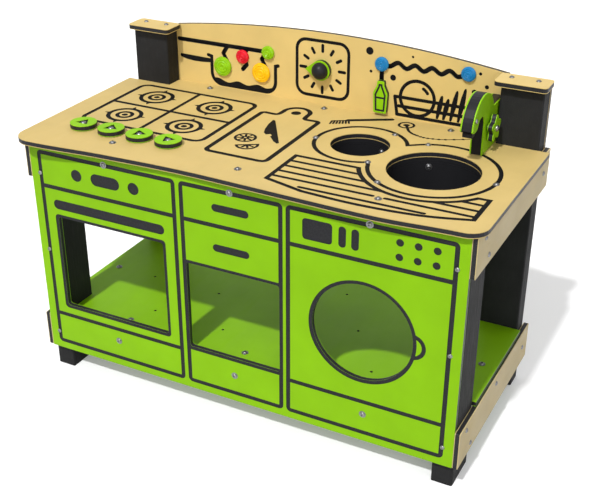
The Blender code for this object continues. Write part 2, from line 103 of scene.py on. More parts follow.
# Colours, linear.
GREEN = (0.262, 0.560, 0.004)
TAN = (0.700, 0.515, 0.190)
# The rails' tan: partly a less saturated tan, partly painted light that brightens the rails' sideways
# faces.
RAIL_TAN_AND_PAINTED_LIGHT = (0.700, 0.555, 0.265)
CORE = (0.015, 0.015, 0.017)
POST = (0.0135, 0.0135, 0.0140)
POST_FLECK = (0.040, 0.040, 0.041)
RED = (0.700, 0.010, 0.025)
YELLOW = (0.960, 0.520, 0.006)
BLUE = (0.012, 0.205, 0.480)
STEEL = (0.350, 0.350, 0.360)
WHITE = (1.0, 1.0, 1.0, 1.0)
PALE = (0.88, 0.88, 0.88)

DISC_COLOURS = {
    "green_large": GREEN, "green_small": GREEN, "red": RED,
    "yellow": YELLOW, "blue_left": BLUE, "blue_right": BLUE,
}

# Surfaces.
SATIN = 0.42
PLASTIC_SPECULAR = 0.22
METAL_SPECULAR = 0.5

# Reference view: camera place from the panel's face, lens, and the two turns.
EYE = (1.2786, -2.1228, 1.8611)
LENS = 63.572
SHIFT = (0.0141, 0.0295)
LOOK_DOWN = 0.4992
LOOK_LEFT = 0.47756

# Studio: floor and wall, then each lamp's name, strength, way its light travels and spread in
# degrees.
FLOOR_HALF = 30.0
WALL_RADIUS = 14.0
WALL_HEIGHT = 16.0
LAMPS = (
    ("key_sun", 2.6, (0.02, 0.59, -0.81), 2.5),
    ("fill_sun", 1.05, (-0.50, 0.80, -0.30), 70.0),
    ("back_sun", 0.60, (0.05, -0.60, -0.80), 75.0),
)


# Outlines, each a list of points running once round a flat shape.

def polar(centre, radius, degrees):
    turn = math.radians(degrees)
    return (centre[0] + radius * math.cos(turn), centre[1] + radius * math.sin(turn))


def arc(centre, radius, start, end, steps):
    """Points on an arc, angles in degrees, both ends included."""
    return [polar(centre, radius, start + (end - start) * i / steps) for i in range(steps + 1)]


def circle(centre, radius, steps=40):
    return arc(centre, radius, 0, 360, steps)[:-1]


def round_box(low_u, high_u, low_v, high_v, corner, steps=6):
    """A rectangle with all its corners rounded alike."""
    corner = min(corner, (high_u - low_u) / 2 - 1e-5, (high_v - low_v) / 2 - 1e-5)
    spots = (
        (high_u - corner, high_v - corner, 0),
        (low_u + corner, high_v - corner, 90),
        (low_u + corner, low_v + corner, 180),
        (high_u - corner, low_v + corner, 270),
    )
    points = []
    for u, v, start in spots:
        points += arc((u, v), corner, start, start + 90, steps)
    return points


def smooth(points, steps=6):
    """A soft curve through all the points."""
    last = len(points) - 1
    curve = []
    for i in range(last):
        picks = (max(i - 1, 0), i, i + 1, min(i + 2, last))
        a, b, c, d = (Vector(points[k]) for k in picks)
        for step in range(steps):
            t = step / steps
            linear = (c - a) * t
            square = (2 * a - 5 * b + 4 * c - d) * t**2
            cube = (3 * b - a - 3 * c + d) * t**3
            curve.append(tuple(b + (linear + square + cube) / 2))
    return curve + [tuple(points[-1])]


def offset_sides(points, width, closed):
    """The two lines that run half a width to either side of a path."""
    count = len(points)
    left, right = [], []
    for i, point in enumerate(points):
        before = points[i - 1] if closed or i > 0 else None
        after = points[(i + 1) % count] if closed or i < count - 1 else None
        here = Vector(point)
        into = (here - Vector(before)).normalized() if before else None
        out = (Vector(after) - here).normalized() if after else None
        into = into or out
        out = out or into
        along = (into + out).normalized()
        normal = Vector((-along.y, along.x))
        stretch = 1 / max(0.5, along.dot(into))
        left.append(tuple(here + normal * width / 2 * stretch))
        right.append(tuple(here - normal * width / 2 * stretch))
    return left, right


def stroke(points, width=GROOVE):
    """A groove along an open path, with round ends."""
    left, right = offset_sides(points, width, False)
    ends = []
    for tip, inner in ((points[-1], points[-2]), (points[0], points[1])):
        along = math.degrees(math.atan2(tip[1] - inner[1], tip[0] - inner[0]))
        ends.append(arc(tip, width / 2, along - 90, along + 90, 6))
    return ("fill", right + ends[0][1:-1] + left[::-1] + ends[1][1:-1])


def loop(points, width=GROOVE):
    """A groove round a closed path."""
    return ("ring", *offset_sides(points, width, True))


def fill(points):
    """A whole area taken down to the core."""
    return ("fill", points)


def line(first, last, width=GROOVE):
    return stroke([first, last], width)


def ray(centre, near, far, degrees, width):
    """A short groove that points away from a centre."""
    return line(polar(centre, near, degrees), polar(centre, far, degrees), width)


def dot(centre, radius):
    return fill(circle(centre, radius, 24))


def pill(low_u, high_u, low_v, high_v):
    return fill(round_box(low_u, high_u, low_v, high_v, 1.0, 10))


# Solids.

def in_frame(axis, u, v, w):
    """Places outline point (u, v) at height w along an axis, in the frame's coordinates."""
    if axis == "X":
        return (w, FACE_Y + u, v)
    if axis == "Y":
        return (u, FACE_Y + w, v)
    return (u, FACE_Y + v, w)


def new_object(name, data):
    bmesh.ops.recalc_face_normals(data, faces=data.faces)
    mesh = bpy.data.meshes.new(name)
    data.to_mesh(mesh)
    data.free()
    made = bpy.data.objects.new(name, mesh)
    bpy.context.scene.collection.objects.link(made)
    return made


def add_prism(data, outline, axis, low, high):
    rings = []
    for w in (low, high):
        rings.append([data.verts.new(in_frame(axis, u, v, w)) for u, v in outline])
    data.faces.new(rings[0])
    data.faces.new(rings[1])
    count = len(outline)
    for i in range(count):
        j = (i + 1) % count
        data.faces.new((rings[0][i], rings[0][j], rings[1][j], rings[1][i]))


def add_band(data, outer, inner, axis, low, high):
    """A prism between two matching outlines."""
    rings = []
    for outline, w in ((outer, low), (outer, high), (inner, high), (inner, low)):
        rings.append([data.verts.new(in_frame(axis, u, v, w)) for u, v in outline])
    count = len(outer)
    for ring, following in zip(rings, rings[1:] + rings[:1]):
        for i in range(count):
            j = (i + 1) % count
            data.faces.new((ring[i], ring[j], following[j], following[i]))


def add_rings(data, rings):
    """Skins rings of points, all of one count; a ring of one point closes an end."""
    made = [[data.verts.new(point) for point in ring] for ring in rings]
    for ring, following in zip(made, made[1:]):
        count = max(len(ring), len(following))
        for i in range(count):
            j = (i + 1) % count
            corners = [ring[i % len(ring)], ring[j % len(ring)]]
            corners += [following[j % len(following)], following[i % len(following)]]
            data.faces.new(list(dict.fromkeys(corners)))


def turned(name, profile, axis, centre, steps=72):
    """A profile of (radius, height) points turned about an axis."""
    data = bmesh.new()
    rings = []
    for radius, w in profile:
        outline = circle(centre, radius, steps) if radius > 0 else [centre]
        rings.append([in_frame(axis, u, v, w) for u, v in outline])
    add_rings(data, rings)
    made = new_object(name, data)
    shade(made)
    return made


def shade(made, angle=32):
    made.data.shade_smooth()
    made.data.set_sharp_from_angle(angle=math.radians(angle))


def soften(data, width, angle=30, segments=2):
    """Rounds every edge that turns by more than an angle."""
    limit = math.radians(angle)
    edges = [e for e in data.edges if e.is_manifold and e.calc_face_angle() > limit]
    bmesh.ops.bevel(
        data,
        geom=edges,
        offset=width,
        offset_type="OFFSET",
        segments=segments,
        profile=0.6,
        affect="EDGES",
        clamp_overlap=True,
    )


def apply_modifiers(made):
    graph = bpy.context.evaluated_depsgraph_get()
    mesh = bpy.data.meshes.new_from_object(made.evaluated_get(graph))
    made.modifiers.clear()
    made.data = mesh


def cutter(shape, axis, low, high, materials):
    """One engraved shape as a solid from low to high; its faces take the second material."""
    kind, *outlines = shape
    data = bmesh.new()
    if kind == "fill":
        add_prism(data, *outlines, axis, low, high)
    else:
        add_band(data, *outlines, axis, low, high)
    for face in data.faces:
        face.material_index = 1
    tool = new_object("cutter", data)
    for material in materials:
        tool.data.materials.append(material)
    return tool


def engrave(made, shapes, axis, low, high, materials):
    """Cuts the shapes out of a piece."""
    cutters = bpy.data.collections.new("cutters")
    bpy.context.scene.collection.children.link(cutters)
    for shape in shapes:
        tool = cutter(shape, axis, low, high, materials)
        bpy.context.scene.collection.objects.unlink(tool)
        cutters.objects.link(tool)
    engraver = made.modifiers.new("engrave", "BOOLEAN")
    engraver.operation = "DIFFERENCE"
    engraver.solver = "EXACT"
    engraver.operand_type = "COLLECTION"
    engraver.collection = cutters
    apply_modifiers(made)
    for tool in list(cutters.objects):
        bpy.data.objects.remove(tool, do_unlink=True)
    bpy.data.collections.remove(cutters)


def remake(node, softness=EDGE_SOFTNESS, shapes=(), axis="Z", low=0.0, high=0.0, groove=None):
    """A piece in the shape of a CAD node, with soft edges and shapes engraved from low to high."""
    data = bmesh.new()
    data.from_mesh(frame["nodes"][node].data)
    bmesh.ops.remove_doubles(data, verts=data.verts, dist=1e-5)
    flat = math.radians(0.5)
    bmesh.ops.dissolve_limit(data, angle_limit=flat, verts=data.verts, edges=data.edges)
    soften(data, softness)
    made = new_object(f"{node}_finished", data)
    made.data.materials.append(BLACK_MATERIAL)
    if shapes:
        made.data.materials.append(groove)
        engrave(made, shapes, axis, low, high, (BLACK_MATERIAL, groove))
    made.data.shade_flat()
    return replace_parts(made, node)


# Materials.

class Shader:
    """A Principled material with short helpers for its node tree."""

    def __init__(self, name, roughness, metallic=0.0, coat=0.0):
        self.material = bpy.data.materials.new(name)
        self.material.use_nodes = True
        self.tree = self.material.node_tree
        self.surface = self.tree.nodes["Principled BSDF"]
        self.surface.inputs["Roughness"].default_value = roughness
        self.surface.inputs["Metallic"].default_value = metallic
        self.surface.inputs["Coat Weight"].default_value = coat
        specular = METAL_SPECULAR if metallic else PLASTIC_SPECULAR
        self.surface.inputs["Specular IOR Level"].default_value = specular
        self.place = self.add("ShaderNodeTexCoord").outputs["Object"]

    def add(self, kind, **settings):
        node = self.tree.nodes.new(kind)
        for key, value in settings.items():
            setattr(node, key, value)
        return node

    def join(self, source, target):
        self.tree.links.new(source, target)

    def stretched(self, scale):
        node = self.add("ShaderNodeMapping")
        node.inputs["Scale"].default_value = scale
        self.join(self.place, node.inputs["Vector"])
        return node.outputs["Vector"]

    def noise(self, scale, detail=2.0, roughness=0.5, vector=None):
        node = self.add("ShaderNodeTexNoise")
        node.inputs["Scale"].default_value = scale
        node.inputs["Detail"].default_value = detail
        node.inputs["Roughness"].default_value = roughness
        self.join(vector or self.place, node.inputs["Vector"])
        return node.outputs["Fac"]

    def remap(self, value, low, high, to_low=0.0, to_high=1.0):
        node = self.add("ShaderNodeMapRange")
        for key, number in (
            ("From Min", low), ("From Max", high), ("To Min", to_low), ("To Max", to_high)
        ):
            node.inputs[key].default_value = number
        self.join(value, node.inputs["Value"])
        return node.outputs["Result"]

    def product(self, first, second):
        node = self.add("ShaderNodeMath", operation="MULTIPLY")
        self.join(first, node.inputs[0])
        self.join(second, node.inputs[1])
        return node.outputs["Value"]

    def mix(self, factor, first, second):
        node = self.add("ShaderNodeMix", data_type="RGBA")
        for socket, value in ((0, factor), (6, first), (7, second)):
            if isinstance(value, tuple):
                node.inputs[socket].default_value = (*value, 1)
            else:
                self.join(value, node.inputs[socket])
        return node.outputs[2]

    def blend(self, value, low, high, first, second):
        """The first colour where the value is below low, the second where it is above high."""
        return self.mix(self.remap(value, low, high), first, second)

    def colour(self, value):
        self.join(value, self.surface.inputs["Base Color"])

    def rough(self, value):
        self.join(value, self.surface.inputs["Roughness"])

    def bump(self, *heights):
        """Stacks bumps given as (height, strength, depth in metres)."""
        under = None
        for height, strength, depth in heights:
            node = self.add("ShaderNodeBump")
            node.inputs["Strength"].default_value = strength
            node.inputs["Distance"].default_value = depth
            self.join(height, node.inputs["Height"])
            if under:
                self.join(under, node.inputs["Normal"])
            under = node.outputs["Normal"]
        self.join(under, self.surface.inputs["Normal"])


def tint(colour, factor):
    return tuple(min(1.0, c * factor) for c in colour)


def plastic_finish(shader, colour, gloss):
    """Satin plastic: cloudy colour, dark specks, faint scuffs and an orange-peel skin."""
    cloud = shader.noise(7.0, 3.0, 0.55)
    tone = shader.blend(cloud, 0.3, 0.7, tint(colour, 0.93), tint(colour, 1.05))
    speck = shader.remap(shader.noise(900.0, 2.0), 0.62, 0.72, 0.0, 0.16)
    tone = shader.mix(speck, tone, tint(colour, 0.70))
    streaks = shader.noise(38.0, 4.0, 0.7, shader.stretched((1.0, 0.16, 0.6)))
    scuff = shader.remap(streaks, 0.66, 0.78, 0.0, 0.10)
    tone = shader.mix(scuff, tone, tint(colour, 1.30))
    peel = shader.noise(520.0, 3.0, 0.6)
    shader.bump((cloud, 0.08, 0.0010), (peel, 0.16, 0.00035))
    shader.rough(shader.remap(streaks, 0.3, 0.8, gloss - 0.05, gloss + 0.12))
    return tone


def core_tone(shader, core=CORE):
    """The black core: milled, a little lighter where the cutter's marks catch light."""
    marks = shader.noise(260.0, 3.0, 0.6)
    return shader.blend(marks, 0.35, 0.7, core, tint(core, 1.7))


def layered(name, colour, node):
    """Coloured skins on a black core, told apart by depth through the sheet's thin side."""
    low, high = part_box(node)
    sides = high - low
    thin = min(range(3), key=lambda k: sides[k])
    shader = Shader(name, SATIN)
    split = shader.add("ShaderNodeSeparateXYZ")
    shader.join(shader.place, split.inputs["Vector"])
    depth = split.outputs[thin]
    core_low, core_high = low[thin] + SKIN, high[thin] - SKIN
    above = shader.remap(depth, core_low, core_low + SKIN_BLEND)
    below = shader.remap(depth, core_high - SKIN_BLEND, core_high, 1.0, 0.0)
    inside = shader.product(above, below)
    skin = plastic_finish(shader, colour, SATIN)
    shader.colour(shader.mix(inside, skin, core_tone(shader)))
    return shader.material


def plain_plastic(name, colour, gloss=SATIN):
    shader = Shader(name, gloss)
    shader.colour(plastic_finish(shader, colour, gloss))
    return shader.material


def milled_core(name, core, specular):
    """The black core where a cutter has opened it."""
    shader = Shader(name, 0.55)
    shader.surface.inputs["Specular IOR Level"].default_value = specular
    shader.colour(core_tone(shader, core))
    marks = shader.noise(420.0, 3.0, 0.6)
    shader.bump((marks, 0.25, 0.0003))
    return shader.material


def moulded_plastic(name, colour):
    """The glossier injection-moulded discs."""
    shader = Shader(name, 0.22, coat=0.25)
    cloud = shader.noise(60.0, 3.0)
    shader.colour(shader.blend(cloud, 0.3, 0.7, tint(colour, 0.90), tint(colour, 1.08)))
    fine = shader.noise(750.0, 2.0)
    shader.bump((fine, 0.08, 0.00015))
    shader.rough(shader.remap(cloud, 0.3, 0.7, 0.20, 0.32))
    return shader.material


def post_plastic():
    """Recycled plastic lumber: long pressed grain, pits and greyish flecks."""
    shader = Shader("post_plastic_grain", 0.7)
    along = shader.stretched((1.0, 1.0, 0.10))
    grain = shader.noise(170.0, 6.0, 0.68, along)
    pits = shader.noise(420.0, 4.0, 0.7)
    patch = shader.noise(9.0, 3.0, 0.6)
    tone = shader.blend(patch, 0.3, 0.7, tint(POST, 0.75), tint(POST, 1.35))
    tone = shader.mix(shader.remap(grain, 0.48, 0.74, 0.0, 0.50), tone, tint(POST, 1.8))
    flecks = shader.remap(pits, 0.64, 0.72, 0.0, 0.55)
    shader.colour(shader.mix(flecks, tone, POST_FLECK))
    shader.bump((grain, 0.55, 0.0016), (pits, 0.35, 0.0007))
    shader.rough(shader.remap(grain, 0.3, 0.7, 0.60, 0.86))
    return shader.material


def steel():
    """Stainless fasteners, turned and a little dulled by weather."""
    shader = Shader("stainless_steel", 0.36, metallic=1.0)
    dull = shader.noise(160.0, 4.0, 0.6)
    shader.colour(shader.blend(dull, 0.35, 0.7, tint(STEEL, 0.72), STEEL))
    shader.rough(shader.remap(dull, 0.3, 0.7, 0.30, 0.52))
    shader.bump((shader.noise(1400.0, 2.0), 0.10, 0.0001))
    return shader.material


def dress(piece, material, body="frame"):
    """Gives a piece its main material and the body that carries it."""
    if piece.data.materials:
        piece.data.materials[0] = material
    else:
        piece.data.materials.append(material)
    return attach(piece, body)


POST_MATERIAL = post_plastic()
STEEL_MATERIAL = steel()
BLACK_MATERIAL = plain_plastic("black_plastic", CORE, 0.40)
CUT_MATERIAL = milled_core("milled_core", CORE, 0.20)
# A darker copy of the milled core for the worktop's and backsplash's grooves: painted shade for the
# grooves' recesses.
SHADED_CUT_MATERIAL = milled_core("milled_core_painted_shade", tint(CORE, 0.45), 0.07)


# Fasteners.

def add_bolt(data, axis, centre, base, outward, head, washer):
    """A button head with a hexagon socket, on a washer unless its radius is 0."""
    steps = 24
    rings = []
    level = base
    if washer:
        edge = ((washer, 0.0), (washer, WASHER_RISE - 0.0003), (washer - 0.0004, WASHER_RISE))
        for radius, rise in edge:
            rings.append((circle(centre, radius, steps), level + outward * rise))
        level += outward * WASHER_RISE
    height = head * 0.56
    dome = ((1.0, 0.0), (1.0, 0.12), (0.95, 0.38), (0.84, 0.66), (0.68, 0.88), (0.54, 1.0))
    for share, rise in dome:
        outline = circle(centre, head * share, steps)
        rings.append((outline, level + outward * height * rise))
    corner = head * 0.44
    socket = []
    for i in range(steps):
        turn = 360 * i / steps
        beside = math.radians(turn % 60 - 30)
        reach = corner * math.cos(math.radians(30)) / math.cos(beside)
        socket.append(polar(centre, reach, turn))
    rings.append((socket, level + outward * height))
    rings.append((socket, level + outward * height * 0.30))
    points = [[in_frame(axis, u, v, w) for u, v in outline] for outline, w in rings]
    points.append([in_frame(axis, *centre, level + outward * height * 0.22)])
    points.insert(0, [in_frame(axis, *centre, base)])
    add_rings(data, points)


def bolts(name, axis, base, outward, places, head=BOLT_HEAD, washer=BOLT_WASHER):
    """A row of bolts as one piece; places are where they stand on the face."""
    data = bmesh.new()
    for centre in places:
        add_bolt(data, axis, centre, base, outward, head, washer)
    made = new_object(name, data)
    shade(made, 28)
    dress(made, STEEL_MATERIAL)


# Engraved drawings.

def oven_front():
    """Two dials beside a display, a long handle and the window."""
    dial_level = 0.673
    dials = [dot((x, dial_level), 0.0178) for x in (-0.4925, -0.302)]
    display = pill(-0.4435, -0.348, dial_level - 0.018, dial_level + 0.018)
    handle = pill(-0.5835, -0.209, 0.554, 0.5835)
    window = fill(round_box(-0.5830, -0.2075, 0.2265, 0.5375, 0.012))
    return dials + [display, handle, window]


def drawer_fronts():
    """Two drawers' handles and the rim of the open bay."""
    handles = [pill(-0.0555, 0.0555, z - 0.011, z + 0.011) for z in (0.673, 0.555)]
    return handles + [fill(round_box(-0.154, 0.153, 0.2065, 0.4965, 0.006))]


def washer_front():
    """A display, two switches, six buttons, and the round door with its handle."""
    shapes = [fill(round_box(0.210, 0.293, 0.644, 0.7025, 0.010))]
    shapes += [pill(x - 0.01025, x + 0.01025, 0.644, 0.702) for x in (0.3205, 0.3555)]
    shapes += [dot((x, z), 0.010) for x in (0.473, 0.5205, 0.5685) for z in (0.6935, 0.654)]
    shapes.append(fill(circle((0.381, 0.411), 0.151, 96)))
    shapes.append(stroke(arc((0.5195, 0.4105), 0.032, -100, 100, 24), 0.011))
    return shapes


def front_drawing():
    """Oven, drawers over an open bay, and a washing machine."""
    foot, plinth, shelf_line, head = 0.101, 0.200, 0.6205, 0.7225
    oven, drawers, washer = (-0.6175, -0.173), (-0.149, 0.148), (0.1695, 0.617)
    shapes = []
    for left, right in (oven, drawers, washer):
        shapes.append(loop(round_box(left, right, foot, head, 0.008)))
        shapes.append(line((left, shelf_line), (right, shelf_line)))
    for left, right in (oven, washer):
        shapes.append(line((left, plinth), (right, plinth)))
    return shapes + oven_front() + drawer_fronts() + washer_front()


def burner(centre):
    """Two rings and a dot, with four points on the outer ring."""
    shapes = [loop(circle(centre, 0.048, 56), 0.0128), loop(circle(centre, 0.022, 40), 0.0115)]
    shapes.append(dot(centre, 0.0090))
    for turn in (0, 90, 180, 270):
        a = math.radians(turn + 5)
        across = Vector((-math.sin(a), math.cos(a))) * 0.0090
        out = Vector((math.cos(a), math.sin(a)))
        base = Vector(centre) + out * 0.0475
        tip = Vector(centre) + out * 0.068
        shapes.append(fill([tuple(base + across), tuple(base - across), tuple(tip)]))
    return shapes


def lemon():
    """A whole slice with eight segments, and a half slice below it."""
    rim_width, segment_width = 0.0079, 0.0071
    whole = (-0.0985, 0.260)
    shapes = [loop(circle(whole, 0.0285, 40), rim_width)]
    shapes += [ray(whole, 0.007, 0.021, 22.5 + 45 * k, segment_width) for k in range(8)]
    half = (-0.0685, 0.216)
    flat = math.degrees(math.atan2(0.032, 0.053))
    shapes.append(loop(arc(half, 0.0295, flat - 180, flat, 24), rim_width))
    turns = [flat - 180 + 45 * k for k in range(1, 4)]
    return shapes + [ray(half, 0.006, 0.021, turn, segment_width) for turn in turns]


def cutting_board():
    """A board with a hanging hole, a knife and a cut lemon."""
    left, right, foot, shoulder = -0.1535, 0.0316, 0.1325, 0.455
    foot_corner, shoulder_corner, hollow, head = 0.017, 0.012, 0.0135, 0.040
    neck = (-0.061, 0.498)
    outline = arc((left + foot_corner, foot + foot_corner), foot_corner, 180, 270, 6)
    outline += arc((right - foot_corner, foot + foot_corner), foot_corner, 270, 360, 6)
    outline += arc((right - shoulder_corner, shoulder - 0.006), shoulder_corner, 0, 80, 5)
    outline += arc((neck[0] + 0.0545, shoulder + 0.018), hollow, 260, 180, 5)
    outline += arc(neck, head, -8, 188, 18)
    outline += arc((neck[0] - 0.0545, shoulder + 0.018), hollow, 360, 280, 5)
    outline += arc((left + shoulder_corner, shoulder - 0.006), shoulder_corner, 100, 180, 5)
    knife = [(-0.095, 0.416), (-0.0865, 0.414), (0.0035, 0.2665), (0.0, 0.2595), (-0.016, 0.270)]
    knife += [(-0.042, 0.299), (-0.0405, 0.307), (-0.049, 0.315), (-0.060, 0.306), (-0.072, 0.318)]
    knife += [(-0.0825, 0.345), (-0.091, 0.380)]
    hole = dot((neck[0], 0.495), 0.0150)
    return [loop(outline, 0.0146), hole, fill(knife)] + lemon()


def sink_surround():
    """Two circles run into one outline round both bowls."""
    upper, lower = (0.3226, 0.412), (0.2726, 0.257)
    small, large = (0.204, 0.364), (0.445, 0.289)

    def bearing(centre, point):
        return math.degrees(math.atan2(point[1] - centre[1], point[0] - centre[0]))

    first = arc(small, 0.128, bearing(small, upper), 360 + bearing(small, lower), 44)
    start = bearing(large, lower) % 360 - 360
    second = arc(large, 0.172, start, bearing(large, upper), 56)
    return loop(first + second[1:-1], 0.0118)


def drainer():
    """Slats beside the sink that end at an arc round the large bowl."""
    bowl = LARGE_BOWL
    reach = 0.194
    left, right, step_x = 0.085, 0.633, 0.602
    top_left, top_right = 0.2105, 0.174
    front_right = (right, 0.0526)
    slat = 0.0116

    def on_arc(y, sign):
        return bowl[0] + sign * math.sqrt(reach**2 - (y - bowl[1]) ** 2)

    start = math.degrees(math.atan2(top_left - bowl[1], on_arc(top_left, -1) - bowl[0]))
    end = math.degrees(math.atan2(top_right - bowl[1], step_x - bowl[0]))
    outline = [(left, 0.044), (left, top_left)]
    outline += arc(bowl, reach, start % 360, end % 360, 30)
    outline += [(right, top_right), front_right]
    outline += smooth([front_right, (0.510, 0.018), (0.352, 0.0053), (0.200, 0.013)], 8)[1:]
    shapes = [loop(outline, 0.0128)]
    for y in (top_right, 0.1385, 0.103):
        shapes.append(line((left, y), (on_arc(y, -1), y), slat))
        shapes.append(line((on_arc(y, 1), y), (right, y), slat))
    for y, first, last in ((0.0685, left, 0.368), (0.0685, 0.402, right), (0.0325, 0.184, 0.516)):
        shapes.append(line((first, y), (last, y), slat))
    return shapes


def brush_and_plug():
    """A washing-up brush with fanned bristles, and a plug on its chain."""
    neck = Vector((0.100, 0.512))
    tip = Vector((0.208, 0.575))
    along = (tip - neck).normalized()
    shapes = [line(tuple(neck - along * 0.046), tuple(neck), 0.0055)]
    shapes.append(line(tuple(neck), tuple(tip), 0.0170))
    bristles = 7
    for k in range(bristles):
        share = k / (bristles - 1)
        root = neck + along * (-0.047 + 0.047 * share)
        end = root + Vector((0.004 + 0.007 * share, -0.0245 + 0.003 * share))
        shapes.append(line(tuple(root), tuple(end), 0.0064))
    plug = (0.263, 0.5526)
    shapes.append(loop(circle(plug, 0.0215, 40), 0.0075))
    shapes.append(dot(plug, 0.0095))
    points = [(0.265, 0.548), (0.2895, 0.509), (0.321, 0.491), (0.3526, 0.486)]
    chain = smooth(points + [(0.400, 0.499), (0.458, 0.533)])
    beads_from = 12
    shapes.append(stroke(chain[:beads_from + 1], 0.0085))
    shapes.append(stroke(chain[beads_from:], 0.0045))
    shapes += [dot(bead, 0.0050) for bead in chain[beads_from + 2:-1:2]]
    return shapes


def hob():
    """A rounded frame cut in four by a cross, with a burner in each part."""
    left, right, front, back = -0.600, -0.194, 0.1735, 0.506
    across, along = 0.3375, -0.397
    shapes = [loop(round_box(left, right, front, back, 0.027), 0.0135)]
    shapes.append(line((along, front), (along, back), 0.0122))
    shapes.append(line((left, across), (right, across), 0.0134))
    for x, y in ((-0.500, 0.4225), (-0.296, 0.4225), (-0.500, 0.2545), (-0.296, 0.2545)):
        shapes += burner((x, y))
    return shapes


def worktop_drawing():
    return hob() + cutting_board() + [sink_surround()] + drainer() + brush_and_plug()


def pot_drawing():
    """A pan with its handle and simmering water."""
    left, right, foot, corner = -0.408, -0.184, 0.775, 0.035
    body = [(-0.420, 0.863), (left, 0.860)]
    body += arc((left + corner, foot + corner), corner, 180, 270, 8)
    body += arc((right - corner, foot + corner), corner, 270, 360, 8)
    body += [(right, 0.860), (-0.175, 0.863)]
    inner = 0.031
    water = arc((left + corner, foot + inner), inner, 205, 270, 6)
    water += arc((right - corner, foot + inner), inner, 270, 335, 6)
    crests = [(-0.186, 0.795), (-0.215, 0.786), (-0.247, 0.793), (-0.282, 0.785), (-0.316, 0.793)]
    crests += [(-0.350, 0.784), (-0.382, 0.794), (-0.404, 0.793)]
    water += smooth(crests)
    handle = [(-0.520, 0.8545), (-0.413, 0.8525), (-0.413, 0.8395), (-0.440, 0.8370)]
    handle += [(-0.470, 0.8360), (-0.500, 0.8385), (-0.520, 0.8435), (-0.523, 0.8495)]
    return [fill(handle), stroke(body, 0.0112), fill(water)]


def timer_drawing():
    """A dial of twelve marks, longer at the quarters, in a rounded frame."""
    x, z = TIMER
    half = 0.084
    shapes = [loop(round_box(x - half, x + half, z - half, z + half, 0.030), 0.0098)]
    for k in range(12):
        far = 0.072 if k % 3 == 0 else 0.068
        shapes.append(ray(TIMER, 0.054, far, 30 * k, 0.0095))
    return shapes


def spindle(top, foot, width):
    """A handle that swells in the middle and narrows to both ends."""
    top, foot = Vector(top), Vector(foot)
    along = foot - top
    side = Vector((-along.y, along.x)).normalized() * width / 2
    swell = ((0.0, 0.25), (0.06, 0.55), (0.3, 0.9), (0.5, 1.0), (0.75, 0.75), (1.0, 0.45))
    left = [tuple(top + along * t + side * s) for t, s in swell]
    right = [tuple(top + along * t - side * s) for t, s in swell]
    return fill(left + right[::-1])


def rack_drawing():
    """Soap bubbles, a plate and cutlery standing in a dish rack."""
    wire = 0.0101
    bubbles = ((0.122, 0.952, 0.0115), (0.254, 0.953, 0.0035), (0.128, 0.893, 0.0045))
    bubbles += ((0.197, 0.884, 0.009), (0.453, 0.934, 0.0045), (0.474, 0.899, 0.006))
    bubbles += ((0.440, 0.879, 0.008),)
    shapes = [dot((x, z), radius) for x, z, radius in bubbles]
    plate = (0.2736, 0.833)
    shapes.append(loop(circle(plate, 0.0515, 64), wire))
    shapes.append(stroke(arc(plate, 0.036, 34, 62, 6), 0.0095))
    rack_top, rack_foot = 0.830, 0.777
    for z, left, right in ((rack_top, 0.205, 0.418), (0.803, 0.218, 0.412), (rack_foot, 0.213, 0.410)):
        shapes.append(line((left, z), (right, z), wire))
    shapes.append(line((0.205, rack_top), (0.214, rack_foot), wire))
    tips = ((0.348, 0.854, 0.336), (0.367, 0.848, 0.355), (0.3915, 0.875, 0.376), (0.415, 0.885, 0.399))
    for top_x, top_z, foot_x in tips:
        shapes.append(spindle((top_x, top_z), (foot_x, 0.783), 0.0155))
    return shapes


def bottle_drawing():
    """An inner outline that follows the bottle, and the top edge of its label."""
    width = 0.0058
    low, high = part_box("bottle")
    middle = (low.x + high.x) / 2
    base = low.z
    half = (high.x - low.x) / 2 - 0.0075
    right = [(half - 0.0025, 0.0085), (half, 0.055), (0.0042, 0.079), (0.0032, 0.085)]
    outline = [(middle + u, base + v) for u, v in right]
    outline += [(middle - u, base + v) for u, v in reversed(right)]
    label = base + 0.046
    return [loop(outline, width), line((middle - half, label), (middle + half, label), width)]


# Pieces.

def front_panel():
    drawing = front_drawing()
    panel = remake(
        "front_panel", EDGE_SOFTNESS, drawing, "Y", -CUTTER_REACH, ENGRAVED, CUT_MATERIAL
    )
    dress(panel, layered("green_front_panel", GREEN, "front_panel"))
    big = [(x, z) for x in (-0.3955, 0.0, 0.393) for z in (0.160, 0.7245)]
    bolts("bolts_front_middle", "Y", 0.0, -1, big)
    small = [(sign * 0.6205, z) for sign in (-1, 1) for z in (0.131, 0.414, 0.6575)]
    bolts("bolts_front_sides", "Y", 0.0, -1, small, 0.0065, 0.0)


def worktop():
    level = WORKTOP_TOP - ENGRAVED
    above = WORKTOP_TOP + CUTTER_REACH
    top = remake("worktop", 0.0005, worktop_drawing(), "Z", level, above, SHADED_CUT_MATERIAL)
    # The worktop's tan is darkened: painted shade that tones down the stronger light on its top face.
    dress(top, layered("tan_worktop_painted_shade", tint(TAN, 0.90), "worktop"))
    rows = [(-0.4025, 0.059), (-0.0075, 0.059), (0.3875, 0.059)]
    rows += [(-0.399, 0.568), (-0.005, 0.568), (0.390, 0.571)]
    bolts("bolts_worktop", "Z", WORKTOP_TOP, 1, rows)
    ring = [(0.075, 0.350), (0.262, 0.470), (0.371, 0.443), (0.2726, 0.257)]
    ring += [(0.346, 0.150), (0.617, 0.274)]
    bolts("bolts_sink_ring", "Z", level, 1, ring, 0.0072, 0.0095)


